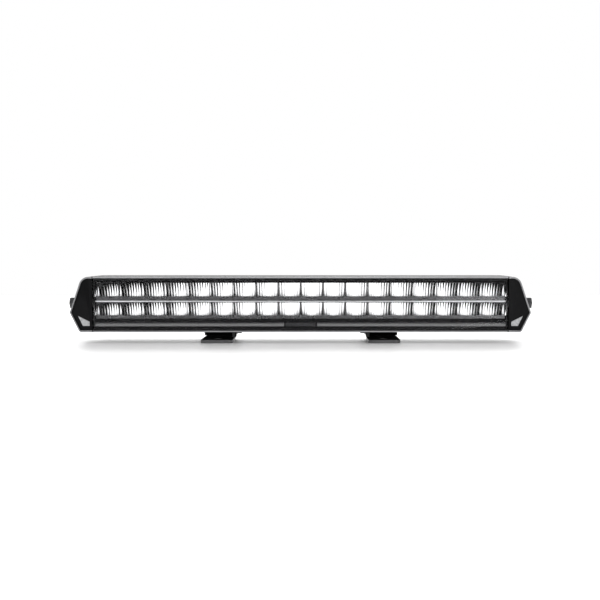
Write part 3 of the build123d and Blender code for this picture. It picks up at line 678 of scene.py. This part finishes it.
def box_faces(shape, low, high, index=0):
    """A closed block between two corners."""
    block = bmesh.ops.create_cube(shape, size=1.0)
    size = [b - a for a, b in zip(low, high)]
    middle = [(a + b) / 2 for a, b in zip(low, high)]
    place = Matrix.Translation(middle) @ Matrix.Diagonal((*size, 1))
    bmesh.ops.transform(shape, matrix=place, verts=block["verts"])
    for face in {face for vert in block["verts"] for face in vert.link_faces}:
        face.material_index = index
        for edge in face.edges:
            edge.smooth = False


def reflector(name, node, bowl, board_top, metals):
    """A module: three cells, the front flange round them, the dividers and the wavy sill."""
    low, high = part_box(node)
    front, vertex = low[1], high[1] - SHELL
    middle = (low[0] + high[0]) / 2
    shape = bmesh.new()
    for i in range(CELLS):
        bowl_cell(shape, middle + (i - 1) * CELL_PITCH, board_top, bowl, front, vertex)
    rim_top = board_top + bowl["rim"]
    box_faces(shape, (low[0], front, rim_top), (high[0], front + SILL_BACK, high[2]), 1)
    for i in range(CELLS + 1):
        edge = middle + (i - CELLS / 2) * CELL_PITCH
        left, right = max(edge - CELL_WALL / 2, low[0]), min(edge + CELL_WALL / 2, high[0])
        box_faces(shape, (left, front, low[2]), (right, front + SILL_BACK, rim_top), 1)
    for i in range(CELLS):
        sill(shape, middle + (i - 1) * CELL_PITCH, board_top, bowl, front, low[2])
    mesh = bpy.data.meshes.new(name)
    shape.to_mesh(mesh)
    shape.free()
    mesh.shade_smooth()
    fit(placed(name, mesh), metals[0], node, second=metals[1])


def sill(shape, middle, board_top, bowl, front, bottom):
    """The front wall under a cell, whose top edge waves where the flutes run out on it."""
    half = (CELL_PITCH - CELL_WALL) / 2
    steps = STEPS_PER_WAVE * FLUTES
    rails = [[], [], [], []]
    for i in range(steps + 1):
        across = -half + 2 * half * i / steps
        wave = SILL_WAVE * math.cos(2 * math.pi * i / STEPS_PER_WAVE)
        top = board_top + bowl["sill"] + wave + SILL_RISE * (across / half) ** 4
        for rail, (y, z) in zip(rails, [(0, bottom), (0, top), (SILL_BACK, top), (SILL_BACK, bottom)]):
            rail.append(shape.verts.new((middle + across, front + y, z)))
    rails.append(rails[0])
    count = len(shape.faces)
    skin(shape, rails, flip=True)
    shape.faces.ensure_lookup_table()
    for face in shape.faces[count:]:
        face.material_index = 1
        for edge in face.edges:
            edge.smooth = False


def metallised(name, rough, bright):
    """Vacuum-metallised plastic with faint cloudy patches."""
    material, tree, shader, place = new_material(name)
    haze = grain(tree, place, 90.0, 2.0)
    dull = tuple(0.95 * part for part in bright)
    tree.links.new(blended(tree, haze, dull, bright), shader.inputs["Base Color"])
    tree.links.new(between(tree, haze, rough, 1.8 * rough), shader.inputs["Roughness"])
    shader.inputs["Metallic"].default_value = 1.0
    return material


mirror_metal = metallised("mirror_metal", rough=0.03, bright=(0.95, 0.952, 0.955))
sill_metal = metallised("sill_metal", rough=0.22, bright=(0.15, 0.15, 0.153))
metals = (mirror_metal, sill_metal)
for row, bowl in BOWL.items():
    board_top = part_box(f"led_board_{row}")[1][2]
    for i in range(1, MODULES + 1):
        reflector(f"mirror_{row}_{i}", f"reflector_{row}_{i}", bowl, board_top, metals)


# ---------------------------------------------------------------------------------------------
# Driver: a green board on brass standoffs behind the upper mirrors, with square power coils and
# round capacitors soldered on it.
# ---------------------------------------------------------------------------------------------
CAPACITORS = 5
CAN_SIDES = 32
CAN_ALUMINIUM = ((0.75, 0.76, 0.78), (0.6, 0.61, 0.63))
BOARD_GREEN = (0.012, 0.09, 0.03)
GREEN_OVER_TRACK = (0.03, 0.17, 0.06)
BRASS = ((0.78, 0.57, 0.28), (0.66, 0.46, 0.2))
FERRITE = ((0.03, 0.03, 0.033), (0.055, 0.055, 0.06))


def turned(name, profile, sides, axis):
    """A closed piece turned from (radius, height) pairs, the first and last on its axis."""
    shape = bmesh.new()
    angles = [2 * math.pi * i / sides for i in range(sides)]
    rings = []
    for radius, height in profile:
        if radius == 0:
            rings.append([shape.verts.new(axis(0, 0, height))] * sides)
            continue
        ring = [axis(radius * math.cos(a), radius * math.sin(a), height) for a in angles]
        rings.append([shape.verts.new(place) for place in ring])
    for low, high in zip(rings, rings[1:]):
        for i in range(sides):
            j = (i + 1) % sides
            shape.faces.new(list(dict.fromkeys([low[i], low[j], high[j], high[i]])))
    return as_master(name, shape)


finish(circuit("green_board", BOARD_GREEN, GREEN_OVER_TRACK, 220.0), "driver_board")
finish(milled("brass", *BRASS, rough=0.32, stretch=(1, 0.05, 1)), "driver_standoffs")
finish(rubbery("coil_ferrite", *FERRITE, rough=0.6), "driver_inductors")
low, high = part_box("driver_capacitors")
radius, tall = (high[2] - low[2]) / 2, high[1] - low[1]
can_profile = [
    (0, 0), (radius, 0), (radius, 0.25 * tall), (0.9 * radius, 0.3 * tall), (radius, 0.35 * tall),
    (radius, 0.94 * tall), (0.93 * radius, tall), (0, tall),
]
can = turned("can_master", can_profile, CAN_SIDES, lambda x, y, z: (x, -z, y))
can_metal = milled("capacitor_can", *CAN_ALUMINIUM, rough=0.25, stretch=(1, 0.05, 1))
row_of(
    "capacitor_row", can, "driver_capacitors", can_metal, Count=CAPACITORS,
    Start=(low[0] + radius, high[1], (low[2] + high[2]) / 2),
    Step=((high[0] - low[0] - 2 * radius) / (CAPACITORS - 1), 0, 0), Turn=(0, math.pi, 0), Seed=7,
)


# ---------------------------------------------------------------------------------------------
# Tray screws: small zinc-plated socket screws in two rows, which clamp the trays' legs and their
# pads on the housing's inner wall. Each is driven home at its own angle.
# ---------------------------------------------------------------------------------------------
TRAY_SCREWS = 6
SCREW_SIDES = 24
HEAD_RADIUS = 0.0028
HEAD_FACE_RADIUS = 0.0021
HEAD_HEIGHT = 0.002
HEAD_WALL = 0.0009
SOCKET_RADIUS = (0.0011, 0.0013)
SOCKET_FLOOR = 0.0008
SHANK_RADIUS = 0.0015
SHANK_POINT = (0.0011, 0.0004)
ZINC = ((0.66, 0.67, 0.69), (0.55, 0.56, 0.58))

low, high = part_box("tray_screws")
face, end, seat = low[1], high[1], low[1] + HEAD_HEIGHT
screw_profile = [
    (0, seat - SOCKET_FLOOR), (SOCKET_RADIUS[0], seat - SOCKET_FLOOR), (SOCKET_RADIUS[1], face),
    (HEAD_FACE_RADIUS, face), (HEAD_RADIUS, seat - HEAD_WALL), (HEAD_RADIUS, seat),
    (SHANK_RADIUS, seat), (SHANK_RADIUS, end - SHANK_POINT[1]), (SHANK_POINT[0], end), (0, end),
]
screw = turned("screw_master", screw_profile, SCREW_SIDES, lambda x, y, z: (x, z - face, y))
screw_step = (high[0] - low[0] - 2 * HEAD_RADIUS) / (TRAY_SCREWS - 1)
row_of(
    "tray_screw_rows", screw, "tray_screws",
    milled("bright_zinc", *ZINC, rough=0.3, stretch=(1, 1, 1)), Count=TRAY_SCREWS,
    Start=(low[0] + HEAD_RADIUS, face, low[2] + HEAD_RADIUS), Step=(screw_step, 0, 0),
    Rows=2, Turn=(0, math.pi, 0), Seed=3,
    **{"Row Step": (0, 0, high[2] - low[2] - 2 * HEAD_RADIUS)},
)


# ---------------------------------------------------------------------------------------------
# Front mask: a black moulding with the window for the mirrors, two slots for the position lights
# and a recess with a blank satin plate between them. Thin metallised wedges stand beside the ends
# of the rows, and a soft seal runs round its face.
# ---------------------------------------------------------------------------------------------
MASK_ROUND = 0.00025
TRIM_X = (0.2462, 0.2488)
TRIM_Y = (-0.0332, -0.0328)
TRIM_UP = (0.004, 0.0175)
MASK_PLASTIC = ((0.003, 0.003, 0.0033), (0.0055, 0.0055, 0.006))
PLATE_BLACK = ((0.020, 0.020, 0.022), (0.030, 0.030, 0.032))
RUBBER_BLACK = ((0.013, 0.013, 0.014), (0.024, 0.024, 0.025))


def moulded(name, first, second, rough, relief=0.2, shine=0.4):
    """Black plastic with the mould's fine grain."""
    material, tree, shader, place = new_material(name)
    cloud = grain(tree, place, 55.0, 3.0)
    texture = grain(tree, place, 2200.0, 3.0)
    tree.links.new(blended(tree, cloud, first, second), shader.inputs["Base Color"])
    tree.links.new(between(tree, texture, rough - 0.05, rough + 0.07), shader.inputs["Roughness"])
    bumped(tree, shader, texture, relief, 0.00006)
    shader.inputs["Specular IOR Level"].default_value = shine
    return material


def end_trims(piece):
    """Adds a thin metallised wedge beside each end of both rows of mirrors, behind the lens."""
    shape = opened(piece)
    for row in ("upper", "lower"):
        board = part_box(f"led_board_{row}")[1][2]
        foot, tip = board + TRIM_UP[0], board + TRIM_UP[1]
        wedge = [(TRIM_X[1], foot), (TRIM_X[0], foot), (TRIM_X[1], tip)]
        for side in (-1, 1):
            front = [shape.verts.new((side * x, TRIM_Y[0], z)) for x, z in wedge]
            back = [shape.verts.new((side * x, TRIM_Y[1], z)) for x, z in wedge]
            faces = [shape.faces.new(front), shape.faces.new(back[::-1])]
            for i in range(3):
                j = (i + 1) % 3
                faces.append(shape.faces.new([front[j], front[i], back[i], back[j]]))
            bmesh.ops.recalc_face_normals(shape, faces=faces)
            for face in faces:
                face.material_index = 1
                face.smooth = False
    return closed(piece, shape)


mask_plastic = moulded("mask_plastic", *MASK_PLASTIC, rough=0.5, shine=0.12)
mask = end_trims(rounded(merged_copy("front_bezel", "front_mask"), MASK_ROUND))
fit(mask, mask_plastic, "front_bezel", second=mirror_metal)
plate = rounded(merged_copy("badge_plate", "blank_plate"), MASK_ROUND)
fit(plate, moulded("plate_plastic", *PLATE_BLACK, rough=0.38), "badge_plate")
black_rubber = rubbery("black_rubber", *RUBBER_BLACK)
finish(black_rubber, "lens_seal")


# ---------------------------------------------------------------------------------------------
# Position lights: smoky moulded bars behind the mask's lower slots, crowned towards the front,
# with fine prisms across them. Their colour is painted lighter along their lower edge, a painted
# reflection of the white floor.
# ---------------------------------------------------------------------------------------------
GUIDE_CROWN = 0.0016
GUIDE_ARC = 10
GUIDE_ROUND = 0.00015
GUIDE_DARK = 0.028
GUIDE_PAINTED_REFLECTION = 0.19


def guide_bar(name, node):
    """A bar whose front is a shallow arc over its height."""
    low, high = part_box(node)
    middle, half = (low[2] + high[2]) / 2, (high[2] - low[2]) / 2
    outline = []
    for i in range(GUIDE_ARC + 1):
        turn = math.pi * (i / GUIDE_ARC - 0.5)
        outline.append((low[1] + GUIDE_CROWN * (1 - math.cos(turn)), middle + half * math.sin(turn)))
    outline += [(high[1], high[2]), (high[1], low[2])]
    shape = bmesh.new()
    ends = [[shape.verts.new((x, y, z)) for y, z in outline] for x in (low[0], high[0])]
    count = len(outline)
    for i in range(count):
        j = (i + 1) % count
        shape.faces.new([ends[0][i], ends[0][j], ends[1][j], ends[1][i]])
    shape.faces.new(ends[0][::-1])
    shape.faces.new(ends[1])
    bmesh.ops.recalc_face_normals(shape, faces=shape.faces)
    mesh = bpy.data.meshes.new(name)
    shape.to_mesh(mesh)
    shape.free()
    return rounded(placed(name, mesh), GUIDE_ROUND, angle=40.0)


def frosted_bar(name, low_z, high_z, dark, bright):
    """Smoky plastic with fine prisms across it, and a painted reflection: lighter towards its lower
    edge.
    """
    material, tree, shader, place = new_material(name)
    split = shader_node(tree, "ShaderNodeSeparateXYZ")
    height = shader_node(tree, "ShaderNodeMapRange", From_Min=high_z, From_Max=low_z)
    # The ramp paints the reflection of the white floor into the colour: light near the lower edge,
    # dark at the top.
    ramp = shader_node(tree, "ShaderNodeValToRGB")
    stops = ramp.color_ramp.elements
    stops[0].position, stops[0].color = 0.0, (*[dark] * 3, 1)
    stops[1].position, stops[1].color = 0.78, (*[bright] * 3, 1)
    last = stops.new(1.0)
    last.color = (*[0.6 * bright] * 3, 1)
    mist = grain(tree, place, 260.0, 3.0)
    tree.links.new(place, split.inputs[0])
    tree.links.new(split.outputs["Z"], height.inputs["Value"])
    tree.links.new(height.outputs[0], ramp.inputs[0])
    tree.links.new(ramp.outputs["Color"], shader.inputs["Base Color"])
    tree.links.new(between(tree, mist, 0.32, 0.5), shader.inputs["Roughness"])
    bumped(tree, shader, grain(tree, place, 1600.0, 2.0, (1, 0.1, 0.1)), 0.25, 0.0001)
    return material


low_corner, high_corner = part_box("light_guide_left")
smoky = frosted_bar("smoky_guide", low_corner[2], high_corner[2], GUIDE_DARK, GUIDE_PAINTED_REFLECTION)
for side in ("left", "right"):
    guide = guide_bar(f"position_light_{side}", f"light_guide_{side}")
    fit(guide, smoky, f"light_guide_{side}")


# ---------------------------------------------------------------------------------------------
# Corner lights: milky moulded prisms let into the end caps' lower corners, each over its LED and a
# stippled reflector.
# ---------------------------------------------------------------------------------------------
PRISM_ROUND = 0.0003
PRISM_DARK = (0.19, 0.194, 0.198)
PRISM_BRIGHT = (0.36, 0.364, 0.37)


def frosted_prism(name, dark, bright):
    """Milky plastic over a stippled reflector, mottled grey."""
    material, tree, shader, place = new_material(name)
    stipple = grain(tree, place, 420.0, 5.0)
    tree.links.new(blended(tree, stipple, dark, bright), shader.inputs["Base Color"])
    tree.links.new(between(tree, stipple, 0.3, 0.45), shader.inputs["Roughness"])
    bumped(tree, shader, stipple, 0.4, 0.0002)
    return material


milky = frosted_prism("milky_prism", PRISM_DARK, PRISM_BRIGHT)
for side in ("left", "right"):
    prism = rounded(merged_copy(f"corner_light_{side}", f"corner_prism_{side}"), PRISM_ROUND)
    fit(prism, milky, f"corner_light_{side}")


# ---------------------------------------------------------------------------------------------
# Lens: a clear polycarbonate sheet, hard coated, bonded between the housing's lips. It lets the
# light straight through and shows only a thin gloss.
# ---------------------------------------------------------------------------------------------
LENS_ROUND = 0.0003


def clear_sheet(name):
    """Straight-through plastic with a faint, slightly uneven gloss."""
    material = bpy.data.materials.new(name)
    material.use_nodes = True
    tree = material.node_tree
    tree.nodes.clear()
    place = shader_node(tree, "ShaderNodeTexCoord")
    smear = grain(tree, place.outputs["Object"], 25.0, 4.0)
    through = shader_node(tree, "ShaderNodeBsdfTransparent", Color=(0.985, 0.985, 0.99, 1))
    gloss = shader_node(tree, "ShaderNodeBsdfGlossy", Color=(1, 1, 1, 1))
    edge = shader_node(tree, "ShaderNodeFresnel", IOR=1.16)
    mix = shader_node(tree, "ShaderNodeMixShader")
    out = shader_node(tree, "ShaderNodeOutputMaterial")
    tree.links.new(between(tree, smear, 0.03, 0.09), gloss.inputs["Roughness"])
    tree.links.new(edge.outputs[0], mix.inputs[0])
    tree.links.new(through.outputs[0], mix.inputs[1])
    tree.links.new(gloss.outputs[0], mix.inputs[2])
    tree.links.new(mix.outputs[0], out.inputs["Surface"])
    return material


lens = rounded(merged_copy("front_lens", "clear_lens"), LENS_ROUND)
fit(lens, clear_sheet("clear_polycarbonate"), "front_lens")


# ---------------------------------------------------------------------------------------------
# End caps: cast aluminium, blasted and coated matt black, with a raised rim round the front face
# that carries the same painted highlight as the housing's, a much lighter grey coat. A rubber
# gasket seals each one, and four black screws hold it, down deep holes in its side.
# ---------------------------------------------------------------------------------------------
CAP_ROUND = 0.0008
CAP_RIM_ROUND = 0.0021
CAP_INSIDE = {"left": (-0.258, 0, 0.046), "right": (0.258, 0, 0.046)}
CAP_BLACK = ((0.0012, 0.0012, 0.0014), (0.0024, 0.0024, 0.0027))
STEEL_BLACK = ((0.016, 0.016, 0.017), (0.028, 0.028, 0.03))

cap_coat = coated("cap_coat", *CAP_BLACK, rough=0.48, pebble=1100.0, relief=0.45, shine=0.12)
for side, inside in CAP_INSIDE.items():
    cap = rimmed(merged_copy(f"end_cap_{side}", f"cap_{side}"), inside, CAP_RIM_ROUND)
    fit(rounded(cap, CAP_ROUND, 3), cap_coat, f"end_cap_{side}", second=rim_highlight_coat)
finish(black_rubber, "end_gasket_left", "end_gasket_right")
black_steel = coated("blackened_steel", *STEEL_BLACK, rough=0.36, pebble=900.0, relief=0.15, shine=0.5)
finish(black_steel, "end_cap_screws")


# ---------------------------------------------------------------------------------------------
# Side bolts: an M8 hexagon bolt in each end cap's boss, for the other way of mounting the bar,
# with a spring washer and a flat washer, all blackened.
# ---------------------------------------------------------------------------------------------
HEX_ROUND = 0.0004

for node, name in (("side_bolts", "side_hex_bolts"), ("side_washers", "side_rings")):
    fit(rounded(merged_copy(node, name), HEX_ROUND), black_steel, node)


# ---------------------------------------------------------------------------------------------
# Cable gland and vent: black nylon, screwed into the flat pads on the housing's back. The gland
# has a domed nut over a rubber sleeve, and the vent has a notched cap.
# ---------------------------------------------------------------------------------------------
GLAND_ROUND = 0.0004
GLAND_PIECES = {
    "cable_gland_body": "gland_body", "cable_gland_nut": "gland_nut", "vent_plug": "vent_cap",
}
NYLON_BLACK = ((0.016, 0.016, 0.017), (0.026, 0.026, 0.028))

nylon = moulded("black_nylon", *NYLON_BLACK, rough=0.45)
for node, name in GLAND_PIECES.items():
    fit(rounded(merged_copy(node, name), GLAND_ROUND), nylon, node)
finish(black_rubber, "cable_gland_seal")


# ---------------------------------------------------------------------------------------------
# Carriages: cast blocks that hang from the rail, coated in satin black, with painted shade: faces
# low down and underneath get a darker, matt copy of the coat. Each one's tongue runs in the slot,
# and two low screws pull square steel nuts against the slot's lips.
# ---------------------------------------------------------------------------------------------
CAST_ROUND = 0.0008
SCREW_ROUND = 0.0003
SHADE_BELOW = 0.0075
SHADE_FACING = -0.2
CARRIAGE_BLACK = ((0.004, 0.004, 0.0043), (0.007, 0.007, 0.0075))
PAINTED_SHADE_BLACK = ((0.003, 0.003, 0.0032), (0.006, 0.006, 0.0062))
NUT_STEEL = ((0.58, 0.58, 0.6), (0.46, 0.46, 0.48))

carriage_coat = coated(
    "carriage_coat", *CARRIAGE_BLACK, rough=0.4, pebble=1300.0, relief=0.3, shine=0.15
)
# Painted shade: a darker, matt copy of the black coat for faces low down, underneath or under the bar.
painted_shade_coat = coated("painted_shade_coat", *PAINTED_SHADE_BLACK, rough=0.9, pebble=1300.0, relief=0.5, shine=0.02)
nut_steel = milled("nut_steel", *NUT_STEEL, rough=0.38, stretch=(1, 1, 0.05))
for side in ("left", "right"):
    body = f"{side}_carriage"
    carriage = rounded(merged_copy(f"carriage_{side}", f"slide_block_{side}"), CAST_ROUND, 3)
    fit(carriage, carriage_coat, f"carriage_{side}", body, painted_shade_coat)
    # Faces low down or facing down get the painted shade coat.
    for face in carriage.data.polygons:
        shaded = face.center.z < SHADE_BELOW or face.normal.z < SHADE_FACING
        face.material_index = 1 if shaded else 0
    screws = rounded(merged_copy(f"carriage_screws_{side}", f"slide_screws_{side}"), SCREW_ROUND)
    fit(screws, black_steel, f"carriage_screws_{side}", body)
    finish(nut_steel, f"slot_nuts_{side}")


# ---------------------------------------------------------------------------------------------
# Feet: 4 mm steel plates bent up into an ear on their inner side, with a low lip along the rear,
# coated in glossier black that is painted lighter as a highlight for their edges, with painted
# shade on top: a darker, matt coat. An M8 bolt through the ear clamps the foot to its carriage at any
# tilt.
# ---------------------------------------------------------------------------------------------
FOOT_ROUND = 0.0006
RING_ROUND = 0.0002
PLATE_TOP = 0.004
LIP_FRONT = 0.0024
LIP_REAR = 0.0002
LIP_HEIGHT = 0.0020
LIP_ROOT = 0.0002
LIP_INSET = 0.0012
SHADE_ABOVE = 0.0034
SHADE_BEHIND = -0.0366
FOOT_HIGHLIGHT_BLACK = ((0.034, 0.034, 0.035), (0.056, 0.056, 0.058))


def lipped(piece, node):
    """Adds the low lip that stands along the plate's rear edge."""
    low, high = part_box(node)
    near = (low[0] + LIP_INSET, high[1] - LIP_FRONT, PLATE_TOP - LIP_ROOT)
    far = (high[0] - LIP_INSET, high[1] - LIP_REAR, PLATE_TOP + LIP_HEIGHT)
    shape = opened(piece)
    box_faces(shape, near, far)
    return closed(piece, shape)


# The foot coat is painted much lighter than the other blacks, a painted highlight for its edges.
foot_highlight_coat = coated("foot_highlight_coat", *FOOT_HIGHLIGHT_BLACK, rough=0.34, pebble=1300.0, relief=0.25, shine=0.5)
for side in ("left", "right"):
    foot = lipped(merged_copy(f"foot_{side}", f"foot_plate_{side}"), f"foot_{side}")
    foot = rounded(foot, FOOT_ROUND, 3)
    fit(foot, foot_highlight_coat, f"foot_{side}", f"{side}_foot", painted_shade_coat)
    # The top faces under the bar get the painted shade coat.
    for face in foot.data.polygons:
        shaded = face.center.z > SHADE_ABOVE and face.center.y > SHADE_BEHIND
        face.material_index = 1 if shaded else 0
    bolt = rounded(merged_copy(f"tilt_bolt_{side}", f"tilt_hex_bolt_{side}"), HEX_ROUND)
    ring = rounded(merged_copy(f"tilt_washer_{side}", f"tilt_ring_{side}"), RING_ROUND)
    fit(bolt, black_steel, f"tilt_bolt_{side}", f"{side}_carriage")
    fit(ring, black_steel, f"tilt_washer_{side}", f"{side}_carriage")
